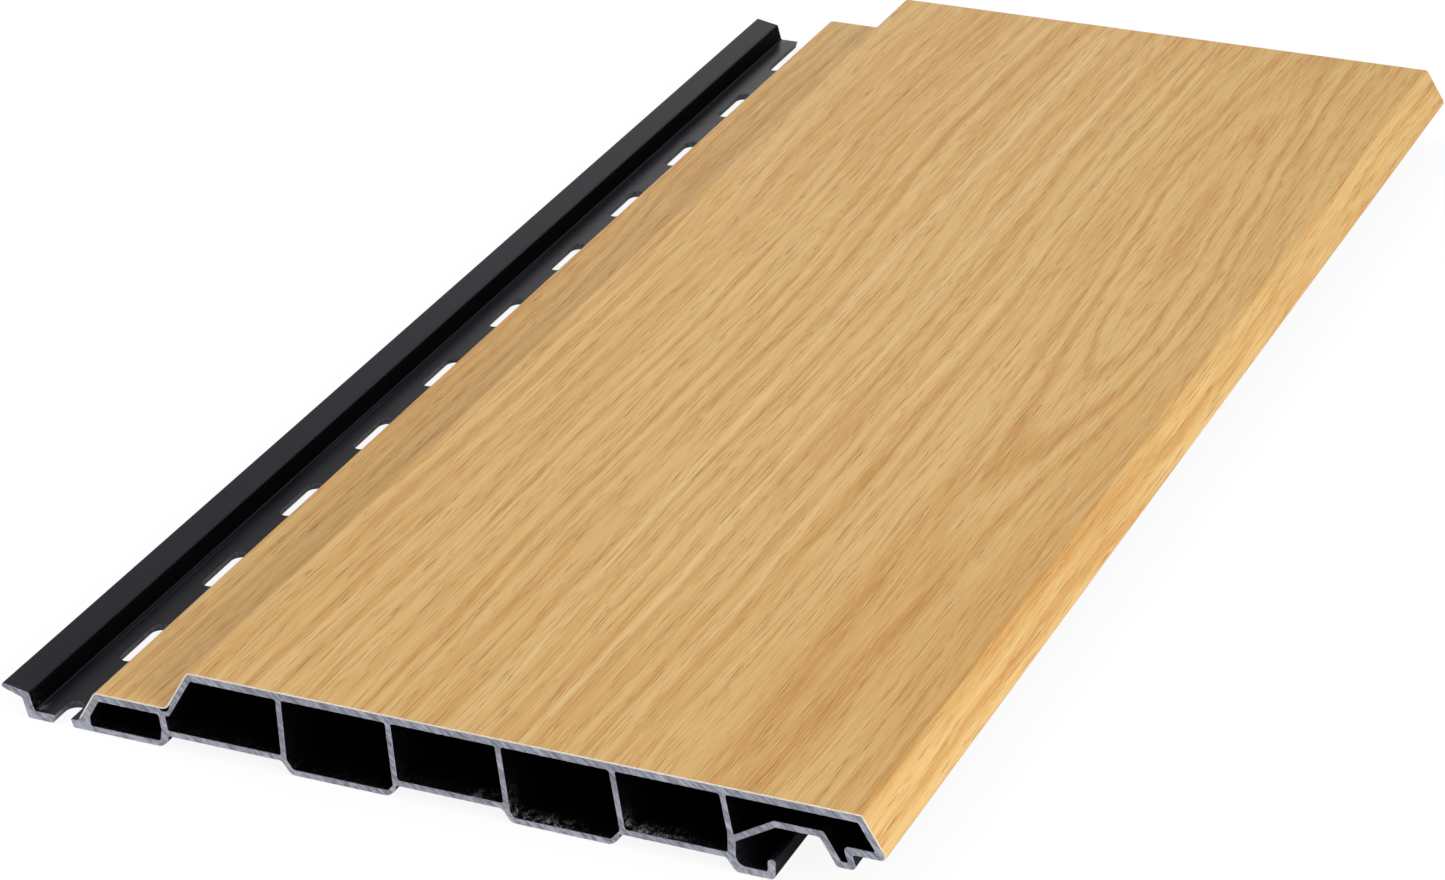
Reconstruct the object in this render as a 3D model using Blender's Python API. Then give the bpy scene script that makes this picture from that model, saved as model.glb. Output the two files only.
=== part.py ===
"""Hollow-chamber outdoor wall panel: one extruded PVC board with a slotted fixing flange.

The board lies face up on its back. +X runs across it towards the hooked edge, +Y runs
along it from the near sawn end to the far one, and +Z points out of the decor face.
The origin is the middle of the board's footprint. All lengths are in metres.
"""

import bpy
import bmesh
from math import atan2, ceil, cos, hypot, pi, radians, sin, tan
from mathutils import Vector

# Overall sizes
PANEL_LENGTH = 0.4595
PANEL_THICKNESS = 0.0220
FACE_WIDTH = 0.1708

# Walls
FACE_WALL = 0.0022
BACK_WALL = 0.0015
WEB_WALL = 0.0014
EDGE_WALL = 0.0020
STEP_WALL = 0.00175
RUNNER_SIDE_WALL = 0.00135
GROOVE_WALL = 0.00165

# Slope of the two long edges and of the tongue, from the horizontal
EDGE_ANGLE = radians(59.0)
FACE_LEFT_RADIUS = 0.0016
FACE_RIGHT_RADIUS = 0.0010

# Stepped back: every second chamber is a runner that stands on the wall, the others are raised
BACK_RISE = 0.0033
RUNNER_TONGUE_INSET = 0.0019
RUNNER_TONGUE_OVERLAP = 0.0004
RUNNER_TONGUE_RADIUS = 0.0020
RUNNER_HOOK_OVERLAPS = [0.0008, 0.00045]
BACK_RADIUS = 0.0012

# Heels: the hook side of the tongue and of every runner is rounded in two turns
HEEL_INSET = 0.0023
HEEL_BEND_INSET = 0.0004
HEEL_BEND_LEVEL = 0.0016
HEEL_RADIUS = 0.0025
HEEL_TOP_RADIUS = 0.0006
KNEE_INSET = 0.00235
KNEE_ANGLE = radians(50.0)

# Webs, by their middle at half height; they lean a little more from one to the next
WEB_LEVEL = 0.0120
FIRST_WEB_FROM_LEFT = 0.0244
LAST_WEB_FROM_RIGHT = 0.0324
RUNNER_PITCH_GAIN = 0.0005
LAST_WEB = 4
FIRST_WEB_LEAN = radians(1.5)
WEB_LEAN_STEP = radians(2.2)
LAST_WEB_BEND = 0.0100
LAST_WEB_FOOT_WALL = 0.00195

# Tongue, the ledge that stays visible as a shadow gap
TONGUE_TOP = 0.0110
TONGUE_WIDTH = 0.0196
TONGUE_TOP_WALL = 0.0022
TONGUE_RADIUS = 0.0014
STEP_FOOT_RADIUS = 0.0022
TONGUE_CORNER_HEIGHT = 0.0041
TONGUE_WEB_WALL = 0.00175
TONGUE_WEB_INSET = 0.0004
TONGUE_WEB_LEAN = radians(6.5)
TONGUE_HEEL_TUCK = 0.0005
TONGUE_HEEL_RADIUS = 0.0008

# Slotted fixing flange
FLANGE_BASE = 0.0022
FLANGE_GROOVE_WIDTH = 0.0121
FLANGE_STEP_WALL = 0.0024
FLANGE_STEP_LEAN = radians(14.0)
FLANGE_STRIP_TOP = 0.0070
FLANGE_STRIP_REACH = 0.0074
FLANGE_STRIP_RISE = radians(10.5)
FLANGE_STRIP_ROOT = 0.0017
FLANGE_STRIP_TIP = 0.0012
FLANGE_RADIUS = 0.0006
SLOT_WIDTH = 0.0045
SLOT_LENGTH = 0.0195
SLOT_PITCH = 0.0405
SLOT_FROM_TONGUE = 0.0042
FIRST_SLOT_Y = -0.0017
LEAST_END_BRIDGE = 0.0080

# Hook that holds the next board's flange strip
HOOK_WALL = 0.0019
HOOK_HEEL_WALL = 0.0023
HOOK_LIP_TOP = 0.0052
HOOK_LIP_WALL = 0.0019
HOOK_LIP_RADIUS = 0.0008
HOOK_POCKET_WIDTH = 0.0078
HOOK_POCKET_TOP = 0.00805
HOOK_POCKET_RADIUS = 0.0024
HOOK_RADIUS = 0.0014

# Groove over the next board's screws, the foot beyond it and the lip on its tongue
GROOVE_CEILING = 0.0140
GROOVE_SLOPE = radians(31.0)
GROOVE_CEILING_WIDTH = 0.0106
GROOVE_RADIUS = 0.0012
FOOT_BOTTOM = 0.0071
FOOT_TIP_WIDTH = 0.0048
FOOT_TIP_RADIUS = 0.0011
FOOT_LEAN = radians(17.0)
SEAT_CLEARANCE = 0.0001
LIP_WALL = 0.00185
LIP_TIP_RADIUS = 0.0012

CHAMBER_RADIUS = 0.0006
ARC_STEP = radians(15.0)
MOST_FILLET_SHARE = 0.45
SHARP_ANGLE = radians(30.0)
CUT_MARGIN = 0.0100

# Heights that follow from the sizes above
CHAMBER_TOP = PANEL_THICKNESS - FACE_WALL
LIP_UNDERSIDE = TONGUE_TOP + SEAT_CLEARANCE
RAISED_FLOOR = BACK_RISE + BACK_WALL
GROOVE_TOP = GROOVE_CEILING + GROOVE_WALL

# Web pitches: the two runners' chambers are a little wider than the mean, the last one narrower
WEB_SPAN = FACE_WIDTH - FIRST_WEB_FROM_LEFT - LAST_WEB_FROM_RIGHT
MEAN_PITCH = WEB_SPAN / LAST_WEB
RUNNER_PITCH = MEAN_PITCH + RUNNER_PITCH_GAIN
LAST_PITCH = MEAN_PITCH - 2 * RUNNER_PITCH_GAIN
WEB_PITCHES = [RUNNER_PITCH, MEAN_PITCH, RUNNER_PITCH, LAST_PITCH]


def edge_run(drop):
    """Sideways run of the sloped edges over a height."""
    return drop / tan(EDGE_ANGLE)


def web_middle(index):
    """Middle of a web at half height, counted from the web nearest the tongue."""
    return FIRST_WEB_FROM_LEFT + sum(WEB_PITCHES[:index])


def web_x(index, z):
    """Middle of a leaning web at a height."""
    lean = FIRST_WEB_LEAN + index * WEB_LEAN_STEP
    return web_middle(index) + (WEB_LEVEL - z) * tan(lean)


# Places across the board, measured from the left edge of the flat face
EDGE_SIDE_WALL = EDGE_WALL / sin(EDGE_ANGLE)
TONGUE_RIGHT = -edge_run(PANEL_THICKNESS - TONGUE_TOP)
TONGUE_LEFT = TONGUE_RIGHT - TONGUE_WIDTH
TONGUE_FOOT = TONGUE_LEFT - edge_run(TONGUE_TOP - FLANGE_BASE)
STEP_RIGHT = TONGUE_FOOT - FLANGE_GROOVE_WIDTH
SLOT_X = TONGUE_FOOT - SLOT_FROM_TONGUE
LAST_WEB_FOOT_X = web_x(LAST_WEB, LAST_WEB_BEND) - WEB_WALL / 2
POCKET_LEFT = LAST_WEB_FOOT_X + LAST_WEB_FOOT_WALL
POCKET_RIGHT = POCKET_LEFT + HOOK_POCKET_WIDTH
HOOK_RIGHT = POCKET_RIGHT + HOOK_LIP_WALL
GROOVE_LEFT = POCKET_LEFT + (GROOVE_CEILING - HOOK_POCKET_TOP) / tan(GROOVE_SLOPE)
GROOVE_RIGHT = GROOVE_LEFT + GROOVE_CEILING_WIDTH
FOOT_LEFT = GROOVE_RIGHT + edge_run(GROOVE_CEILING - FOOT_BOTTOM)
FOOT_RIGHT = FOOT_LEFT + FOOT_TIP_WIDTH
LIP_RIGHT = FACE_WIDTH + edge_run(PANEL_THICKNESS - LIP_UNDERSIDE)


def rounded(corners):
    """Closed outline through (x, z, radius) corners, each rounded by an arc."""
    points = []
    for index, (x, z, radius) in enumerate(corners):
        here = Vector((x, z))
        before = Vector(corners[index - 1][:2]) - here
        after = Vector(corners[(index + 1) % len(corners)][:2]) - here
        opening = before.angle(after)
        half = opening / 2
        reach = min(radius / tan(half), MOST_FILLET_SHARE * min(before.length, after.length))
        radius = reach * tan(half)
        before.normalize()
        after.normalize()
        centre = here + (before + after).normalized() * (radius / sin(half))
        start = here + before * reach - centre
        sweep = pi - opening
        if before.cross(after) > 0:
            sweep = -sweep
        steps = max(2, ceil(abs(sweep) / ARC_STEP))
        first = atan2(start.y, start.x)
        for step in range(steps + 1):
            angle = first + sweep * step / steps
            points.append((centre.x + radius * cos(angle), centre.y + radius * sin(angle)))
    return points


def step_face_x(z):
    """Inner side of the flange's leaning step wall at a height."""
    return STEP_RIGHT - (z - FLANGE_BASE) * tan(FLANGE_STEP_LEAN)


def flange_underside():
    """Corners of the strip tip, the strip's underside and the step wall, down to the back."""
    root_x = step_face_x(FLANGE_STRIP_TOP)
    tip_x = root_x - FLANGE_STRIP_REACH
    tip_z = FLANGE_STRIP_TOP + FLANGE_STRIP_REACH * tan(FLANGE_STRIP_RISE)
    under_z = FLANGE_STRIP_TOP - FLANGE_STRIP_ROOT
    under_x = step_face_x(under_z) - FLANGE_STEP_WALL
    return [
        (tip_x, tip_z, FLANGE_STRIP_TIP / 2),
        (tip_x, tip_z - FLANGE_STRIP_TIP, FLANGE_STRIP_TIP / 2),
        (under_x, under_z, FLANGE_RADIUS),
        (step_face_x(0) - FLANGE_STEP_WALL, 0, FLANGE_RADIUS),
    ]


def heel(side_x):
    """Corners of a heel, from the back up to the raised part beyond it."""
    return [
        (side_x - HEEL_INSET, 0, HEEL_RADIUS),
        (side_x - HEEL_BEND_INSET, HEEL_BEND_LEVEL, HEEL_RADIUS),
        (side_x, BACK_RISE, HEEL_TOP_RADIUS),
    ]


def runner_side_x(number):
    """Place of a runner's hook side, counted from the runner nearest the tongue."""
    return web_middle(2 * number + 1) + RUNNER_HOOK_OVERLAPS[number]


def runner(number):
    """Corners of the outside of one runner, from the tongue side to the hook side."""
    left = web_middle(2 * number)
    return [
        (left - RUNNER_TONGUE_OVERLAP, BACK_RISE, BACK_RADIUS),
        (left + RUNNER_TONGUE_INSET, 0, RUNNER_TONGUE_RADIUS),
    ] + heel(runner_side_x(number))


def tongue_web_x(z):
    """Tongue chamber's side of the web that parts it from the first chamber, at a height."""
    top = TONGUE_RIGHT - TONGUE_WEB_INSET - TONGUE_WEB_WALL
    return top + (TONGUE_TOP - TONGUE_TOP_WALL - z) * tan(TONGUE_WEB_LEAN)


def outer_outline():
    """Corners of the whole section, anticlockwise as seen from the near end."""
    hook_heel = POCKET_LEFT - HOOK_HEEL_WALL
    back = heel(tongue_web_x(BACK_RISE) + TONGUE_WEB_WALL)
    back += runner(0)
    back += runner(1)
    hook = [
        (hook_heel, BACK_RISE, BACK_RADIUS),
        (hook_heel + RUNNER_TONGUE_INSET + RUNNER_TONGUE_OVERLAP, 0, RUNNER_TONGUE_RADIUS),
        (HOOK_RIGHT, 0, HOOK_RADIUS),
        (HOOK_RIGHT, HOOK_LIP_TOP, HOOK_LIP_RADIUS),
        (POCKET_RIGHT, HOOK_LIP_TOP, HOOK_LIP_RADIUS),
        (POCKET_RIGHT, HOOK_WALL, HOOK_RADIUS / 2),
        (POCKET_LEFT, HOOK_WALL, HOOK_POCKET_RADIUS),
        (POCKET_LEFT, HOOK_POCKET_TOP, CHAMBER_RADIUS),
    ]
    foot_neck = FOOT_RIGHT - (LIP_UNDERSIDE - FOOT_BOTTOM) * tan(FOOT_LEAN)
    groove = [
        (GROOVE_LEFT, GROOVE_CEILING, GROOVE_RADIUS),
        (GROOVE_RIGHT, GROOVE_CEILING, GROOVE_RADIUS),
        (FOOT_LEFT, FOOT_BOTTOM, FOOT_TIP_RADIUS),
        (FOOT_RIGHT, FOOT_BOTTOM, FOOT_TIP_RADIUS),
        (foot_neck, LIP_UNDERSIDE, FLANGE_RADIUS),
        (LIP_RIGHT, LIP_UNDERSIDE, LIP_TIP_RADIUS),
    ]
    front = [
        (FACE_WIDTH, PANEL_THICKNESS, FACE_RIGHT_RADIUS),
        (0, PANEL_THICKNESS, FACE_LEFT_RADIUS),
        (TONGUE_RIGHT, TONGUE_TOP, STEP_FOOT_RADIUS),
        (TONGUE_LEFT, TONGUE_TOP, TONGUE_RADIUS),
        (TONGUE_FOOT, FLANGE_BASE, FLANGE_RADIUS),
        (STEP_RIGHT, FLANGE_BASE, FLANGE_RADIUS),
        (step_face_x(FLANGE_STRIP_TOP), FLANGE_STRIP_TOP, FLANGE_RADIUS),
    ]
    return flange_underside() + back + hook + groove + front


def tongue_chamber():
    """Corners of the chamber behind the tongue's ledge."""
    top = TONGUE_TOP - TONGUE_TOP_WALL
    left_top = TONGUE_LEFT + EDGE_SIDE_WALL - edge_run(TONGUE_TOP_WALL)
    left_low = left_top - edge_run(top - TONGUE_CORNER_HEIGHT)
    return [
        (left_low, BACK_WALL, CHAMBER_RADIUS),
        (tongue_web_x(RAISED_FLOOR) - TONGUE_HEEL_TUCK, BACK_WALL, TONGUE_HEEL_RADIUS),
        (tongue_web_x(RAISED_FLOOR), RAISED_FLOOR, BACK_RADIUS),
        (tongue_web_x(top), top, CHAMBER_RADIUS),
        (left_top, top, CHAMBER_RADIUS),
        (left_low, TONGUE_CORNER_HEIGHT, CHAMBER_RADIUS),
    ]


def first_chamber():
    """Corners of the raised chamber behind the face's left edge."""
    side_wall = STEP_WALL / sin(EDGE_ANGLE)
    neck_z = TONGUE_TOP - TONGUE_TOP_WALL
    return [
        (tongue_web_x(RAISED_FLOOR) + TONGUE_WEB_WALL, RAISED_FLOOR, CHAMBER_RADIUS),
        (web_x(0, RAISED_FLOOR) - WEB_WALL / 2, RAISED_FLOOR, CHAMBER_RADIUS),
        (web_x(0, CHAMBER_TOP) - WEB_WALL / 2, CHAMBER_TOP, CHAMBER_RADIUS),
        (side_wall - edge_run(FACE_WALL), CHAMBER_TOP, CHAMBER_RADIUS),
        (side_wall - edge_run(PANEL_THICKNESS - neck_z), neck_z, TONGUE_RADIUS),
        (tongue_web_x(neck_z) + TONGUE_WEB_WALL, neck_z, CHAMBER_RADIUS / 2),
    ]


def knee(web, side, floor_x, run_per_rise):
    """Inner lower corners of a runner's chamber at one web: on the floor and on the web."""
    lean = tan(FIRST_WEB_LEAN + web * WEB_LEAN_STEP)
    web_offset = WEB_WALL / 2 + side * (WEB_LEVEL - BACK_WALL) * lean
    floor_offset = side * (floor_x - web_middle(web))
    climb = (floor_offset - web_offset) / (run_per_rise - side * lean)
    knee_z = BACK_WALL + climb
    on_floor = (floor_x, BACK_WALL, CHAMBER_RADIUS)
    on_web = (web_x(web, knee_z) + side * WEB_WALL / 2, knee_z, CHAMBER_RADIUS)
    return on_floor, on_web


def tongue_side_knee(web):
    """Knee that runs along the sloped tongue side of a runner."""
    slope_run = RUNNER_TONGUE_INSET + RUNNER_TONGUE_OVERLAP
    slope_length = hypot(slope_run, BACK_RISE)
    inset = (RUNNER_SIDE_WALL * slope_length - BACK_WALL * slope_run) / BACK_RISE
    return knee(web, 1, web_middle(web) + RUNNER_TONGUE_INSET + inset, slope_run / BACK_RISE)


def runner_chamber(number):
    """Corners of the chamber in a runner, its lower corners cut off by knees."""
    left_web = 2 * number
    right_web = left_web + 1
    left_floor, left_knee = tongue_side_knee(left_web)
    right_floor, right_knee = knee(right_web, -1, runner_side_x(number) - KNEE_INSET, 1 / tan(KNEE_ANGLE))
    return [
        left_floor,
        right_floor,
        right_knee,
        (web_x(right_web, CHAMBER_TOP) - WEB_WALL / 2, CHAMBER_TOP, CHAMBER_RADIUS),
        (web_x(left_web, CHAMBER_TOP) + WEB_WALL / 2, CHAMBER_TOP, CHAMBER_RADIUS),
        left_knee,
    ]


def raised_chamber(left_web, right_web):
    """Corners of a chamber between two runners, its back clear of the wall."""
    return [
        (web_x(left_web, RAISED_FLOOR) + WEB_WALL / 2, RAISED_FLOOR, CHAMBER_RADIUS),
        (web_x(right_web, RAISED_FLOOR) - WEB_WALL / 2, RAISED_FLOOR, CHAMBER_RADIUS),
        (web_x(right_web, CHAMBER_TOP) - WEB_WALL / 2, CHAMBER_TOP, CHAMBER_RADIUS),
        (web_x(left_web, CHAMBER_TOP) + WEB_WALL / 2, CHAMBER_TOP, CHAMBER_RADIUS),
    ]


def last_chamber():
    """Corners of the raised chamber beside the hook; its last web stands upright below the groove."""
    return [
        (web_x(LAST_WEB - 1, RAISED_FLOOR) + WEB_WALL / 2, RAISED_FLOOR, CHAMBER_RADIUS),
        (LAST_WEB_FOOT_X, RAISED_FLOOR, CHAMBER_RADIUS),
        (LAST_WEB_FOOT_X, LAST_WEB_BEND, CHAMBER_RADIUS),
        (web_x(LAST_WEB, CHAMBER_TOP) - WEB_WALL / 2, CHAMBER_TOP, CHAMBER_RADIUS),
        (web_x(LAST_WEB - 1, CHAMBER_TOP) + WEB_WALL / 2, CHAMBER_TOP, CHAMBER_RADIUS),
    ]


def edge_chamber():
    """Corners of the chamber over the groove, which reaches down into the foot and the lip."""
    slope_rise = GROOVE_WALL / cos(GROOVE_SLOPE)
    groove_left = GROOVE_LEFT - (slope_rise - GROOVE_WALL) / tan(GROOVE_SLOPE)
    level_z = HOOK_POCKET_TOP + slope_rise
    side_x = web_x(LAST_WEB, level_z) + WEB_WALL / 2
    left_z = level_z - (POCKET_LEFT - side_x) * tan(GROOVE_SLOPE)
    lip_floor = LIP_UNDERSIDE + LIP_WALL
    foot_floor = FOOT_BOTTOM + GROOVE_WALL
    foot_left = FOOT_LEFT + GROOVE_WALL / sin(EDGE_ANGLE) - edge_run(GROOVE_WALL)
    foot_right = FOOT_RIGHT - GROOVE_WALL
    lip_right = LIP_RIGHT - EDGE_SIDE_WALL - edge_run(LIP_WALL)
    return [
        (web_x(LAST_WEB, left_z) + WEB_WALL / 2, left_z, CHAMBER_RADIUS / 2),
        (groove_left, GROOVE_TOP, GROOVE_RADIUS),
        (foot_left - edge_run(GROOVE_TOP - foot_floor), GROOVE_TOP, GROOVE_RADIUS),
        (foot_left, foot_floor, CHAMBER_RADIUS / 2),
        (foot_right - GROOVE_WALL * tan(FOOT_LEAN), foot_floor, CHAMBER_RADIUS / 2),
        (foot_right - (lip_floor - FOOT_BOTTOM) * tan(FOOT_LEAN), lip_floor, FOOT_TIP_RADIUS),
        (lip_right, lip_floor, CHAMBER_RADIUS / 2),
        (FACE_WIDTH - EDGE_SIDE_WALL + edge_run(FACE_WALL), CHAMBER_TOP, CHAMBER_RADIUS),
        (web_x(LAST_WEB, CHAMBER_TOP) + WEB_WALL / 2, CHAMBER_TOP, CHAMBER_RADIUS),
    ]


def ring(mesh, outline, y, shift_x):
    """Closed chain of edges of one outline on one end of the board."""
    verts = [mesh.verts.new((x - shift_x, y, z)) for x, z in outline]
    edges = []
    for index, vert in enumerate(verts):
        edges.append(mesh.edges.new((vert, verts[(index + 1) % len(verts)])))
    return verts, edges


def extrude_section(name, outlines, length, shift_x):
    """Solid bar with a constant section; the first outline is its outside, the rest are hollows."""
    mesh = bmesh.new()
    near_edges = []
    far_edges = []
    for outline in outlines:
        near, edges = ring(mesh, outline, -length / 2, shift_x)
        near_edges += edges
        far, edges = ring(mesh, outline, length / 2, shift_x)
        far_edges += edges
        for index in range(len(near)):
            after = (index + 1) % len(near)
            mesh.faces.new((near[index], near[after], far[after], far[index]))
    bmesh.ops.triangle_fill(mesh, use_beauty=True, use_dissolve=False, edges=near_edges)
    bmesh.ops.triangle_fill(mesh, use_beauty=True, use_dissolve=False, edges=far_edges)
    bmesh.ops.recalc_face_normals(mesh, faces=mesh.faces)
    data = bpy.data.meshes.new(name)
    mesh.to_mesh(data)
    mesh.free()
    bar = bpy.data.objects.new(name, data)
    bpy.context.collection.objects.link(bar)
    return bar


def slot_spans():
    """Start and end of every slot along the board, from the near end."""
    spans = []
    middle = FIRST_SLOT_Y
    while middle - SLOT_LENGTH / 2 + SLOT_WIDTH < PANEL_LENGTH:
        start = middle - SLOT_LENGTH / 2
        end = middle + SLOT_LENGTH / 2
        if end > PANEL_LENGTH - LEAST_END_BRIDGE:
            end = PANEL_LENGTH + CUT_MARGIN
        spans.append((start, end))
        middle += SLOT_PITCH
    return spans


def slot_cutter(shift_x):
    """One tool with the shape of all slots, longer than the flange is thick."""
    mesh = bmesh.new()
    radius = SLOT_WIDTH / 2
    steps = ceil(pi / ARC_STEP)
    for start, end in slot_spans():
        outline = []
        for step in range(steps + 1):
            angle = pi * step / steps
            outline.append((radius * cos(angle), end - radius + radius * sin(angle)))
        for step in range(steps + 1):
            angle = pi + pi * step / steps
            outline.append((radius * cos(angle), start + radius + radius * sin(angle)))
        verts = []
        for x, y in outline:
            verts.append(mesh.verts.new((SLOT_X - shift_x + x, y - PANEL_LENGTH / 2, -CUT_MARGIN)))
        face = mesh.faces.new(verts)
        grown = bmesh.ops.extrude_face_region(mesh, geom=[face])
        lifted = [item for item in grown["geom"] if isinstance(item, bmesh.types.BMVert)]
        bmesh.ops.translate(mesh, verts=lifted, vec=(0, 0, 2 * CUT_MARGIN))
    bmesh.ops.recalc_face_normals(mesh, faces=mesh.faces)
    data = bpy.data.meshes.new("slot_cutter")
    mesh.to_mesh(data)
    mesh.free()
    cutter = bpy.data.objects.new("slot_cutter", data)
    bpy.context.collection.objects.link(cutter)
    cutter.hide_render = True
    cutter.display_type = "WIRE"
    return cutter


def pvc_material():
    """Dark grey rigid PVC with a satin extruded skin."""
    material = bpy.data.materials.new("anthracite_pvc")
    material.use_nodes = True
    shader = material.node_tree.nodes["Principled BSDF"]
    shader.inputs["Base Color"].default_value = (0.055, 0.055, 0.065, 1)
    shader.inputs["Roughness"].default_value = 0.45
    shader.inputs["Metallic"].default_value = 0.0
    return material


def build():
    for old in list(bpy.data.objects):
        bpy.data.objects.remove(old)
    outside = rounded(outer_outline())
    chambers = [
        tongue_chamber(),
        first_chamber(),
        runner_chamber(0),
        raised_chamber(1, 2),
        runner_chamber(1),
        last_chamber(),
        edge_chamber(),
    ]
    outlines = [outside] + [rounded(corners) for corners in chambers]
    across = [x for x, z in outside]
    middle_x = (min(across) + max(across)) / 2
    panel = extrude_section("wall_panel", outlines, PANEL_LENGTH, middle_x)
    panel.data.materials.append(pvc_material())
    panel.data.shade_smooth()
    panel.data.set_sharp_from_angle(angle=SHARP_ANGLE)
    cut = panel.modifiers.new("fixing_slots", "BOOLEAN")
    cut.operation = "DIFFERENCE"
    cut.solver = "EXACT"
    cut.object = slot_cutter(middle_x)


build()
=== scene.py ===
"""Outdoor wall panel as it looks: a sawn length of dark PVC board with a light oak decor foil.

Lengths are in metres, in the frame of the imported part: +X runs across the board towards the
hooked edge, +Y along it to the far sawn end, +Z out of the decor face. The section is read from
the part, so every piece follows it. Inside the materials, places are in millimetres.
"""

from math import ceil, cos, pi, radians, sin

import bmesh
import bpy
from mathutils import Matrix, Vector, noise


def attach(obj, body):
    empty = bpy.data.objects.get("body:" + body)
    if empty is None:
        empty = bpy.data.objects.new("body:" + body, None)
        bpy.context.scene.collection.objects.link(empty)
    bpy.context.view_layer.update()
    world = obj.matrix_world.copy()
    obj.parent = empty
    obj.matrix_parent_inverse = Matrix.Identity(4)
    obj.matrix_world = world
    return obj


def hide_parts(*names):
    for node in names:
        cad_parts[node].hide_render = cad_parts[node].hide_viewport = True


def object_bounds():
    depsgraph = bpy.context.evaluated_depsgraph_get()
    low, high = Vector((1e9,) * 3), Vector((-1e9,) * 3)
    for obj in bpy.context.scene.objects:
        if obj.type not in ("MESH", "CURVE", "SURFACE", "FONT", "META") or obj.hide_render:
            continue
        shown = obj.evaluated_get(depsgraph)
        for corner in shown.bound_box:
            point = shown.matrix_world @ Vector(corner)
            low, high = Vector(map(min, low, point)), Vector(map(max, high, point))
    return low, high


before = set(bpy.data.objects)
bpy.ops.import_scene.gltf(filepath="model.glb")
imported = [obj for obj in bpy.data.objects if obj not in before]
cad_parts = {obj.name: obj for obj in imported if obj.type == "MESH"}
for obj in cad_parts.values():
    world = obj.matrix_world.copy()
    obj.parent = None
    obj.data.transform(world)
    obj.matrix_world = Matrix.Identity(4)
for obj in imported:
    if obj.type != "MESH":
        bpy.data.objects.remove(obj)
cad_low, cad_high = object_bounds()


def srgb(red, green, blue):
    """Linear colour, with its alpha, of an 8 bit screen colour."""
    def linear(level):
        share = level / 255
        return share / 12.92 if share <= 0.04045 else ((share + 0.055) / 1.055) ** 2.4
    return (linear(red), linear(green), linear(blue), 1.0)


# Board
NEAR = cad_low.y
FAR = cad_high.y
LENGTH = FAR - NEAR
WELD = 1e-6
LEVEL_DIGITS = 5
SHARP_ANGLE = radians(30.0)

# Material slots of the board, the foil and the slot tool
SKIN_SLOT, SAWN_SLOT, RIM_SLOT, PAINTED_SHADE_SLOT, FLANGE_SLOT = range(5)
FACE_SLOT, EDGE_SLOT = range(2)
TOOL_SLOT = 0

# Decor foil: it starts under the lip's tip and ends just above the flange; the print is on the row
# of faces between its two torn rims
FOIL_THICKNESS = 0.00034
FOIL_SEAT_GAP = 0.00001
FOIL_FOOT_LEVEL = 0.0031
FOIL_TIP_REACH = 0.0025
FOIL_STEP = 0.0005
PRINT_ROW = 2
TORN_RIM = 0.00010
TORN_NOISE = 0.00010
TORN_PITCH = 0.0009

# Where the foil bridges the corner between ledge and step, a small void is left behind it
VOID_CORNER = (-0.0693, 0.0111)
VOID_DEPTH = 0.00085
VOID_REACH = 0.0016

# Sawn ends: the rims of the cut are broken by a tiny uneven chamfer, with a ring of points behind
# each that holds the smooth shading of the long walls
RIM_STEP = 0.0005
RIM_DEPTH = 0.00014
RIM_HOLD = 0.0004
RIM_INSET = 0.00009
RIM_LEAST = 0.00001
RIM_NOISE = 0.00013
RIM_NOISE_PITCH = 0.0011

# Fixing slots: the first one's middle lies just outside the near end
SLOT_X = -0.09781
SLOT_WIDTH = 0.0045
SLOT_LENGTH = 0.0195
SLOT_PITCH = 0.0405
FIRST_SLOT_Y = -0.0017
LEAST_END_BRIDGE = 0.0080
BREAKOUT_TOP = 0.0022
BREAKOUT_WIDTH = 0.0007
SLOT_ARC_STEP = radians(7.5)
CUT_MARGIN = 0.0100

# The section is read half way between two slots
PITCHES_TO_BRIDGE = 5.5
BRIDGE_Y = NEAR + FIRST_SLOT_Y + SLOT_PITCH * PITCHES_TO_BRIDGE

# Flange faces by their normals: the glossy top, and the wall of the channel, which takes the skin
# darkened with painted shade
FLANGE_INNER = -0.0925
FLANGE_TOP_RISE = 0.60
CHANNEL_WALL_LEAN = 0.50

# Camera, measured from the photo's vanishing points
CAMERA_PLACE = (0.42091, -0.98935, 0.53514)
CAMERA_RIGHT = (0.91568, 0.40125, -0.02300)
CAMERA_UP = (-0.16396, 0.42517, 0.89014)
CAMERA_BACK = (0.36695, -0.81131, 0.45510)
CAMERA_LENS = 109.2
CAMERA_SENSOR = 36.0

# Studio
WHITE = (1.0, 1.0, 1.0, 1.0)
FLOOR_DROP = 0.0002
FLOOR_HALF = 4.0
FLOOR_COLOUR = (0.86, 0.86, 0.86, 1.0)
FLOOR_ROUGHNESS = 0.8
FLOOR_GLOW = 0.85
FLOOR_WHITE = 1.06
WORLD_STRENGTH = 0.43

# Lights: name, place, target, width and height, power
LIGHTS = (
    ("key_light", (1.75, -0.75, 0.75), (0.0, 0.0, 0.0), (1.2, 1.0), 31.0),
    ("fill_light", (-1.4, 0.2, 1.4), (0.0, 0.0, 0.0), (1.6, 1.6), 18.5),
    ("back_light", (-0.69, 1.6, 0.55), (-0.05, 0.2, 0.0), (0.5, 0.3), 0.90),
)

# Nodes: millimetres in a metre, the mean of a noise, where a ramp's new stop waits for its place,
# and the colour sockets of the Mix node
MILLIMETRES = 1000.0
NOISE_MEAN = 0.5
RAMP_MIDDLE = 0.5
MIX_ONE = 6
MIX_TWO = 7
MIX_RESULT = 2

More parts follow.
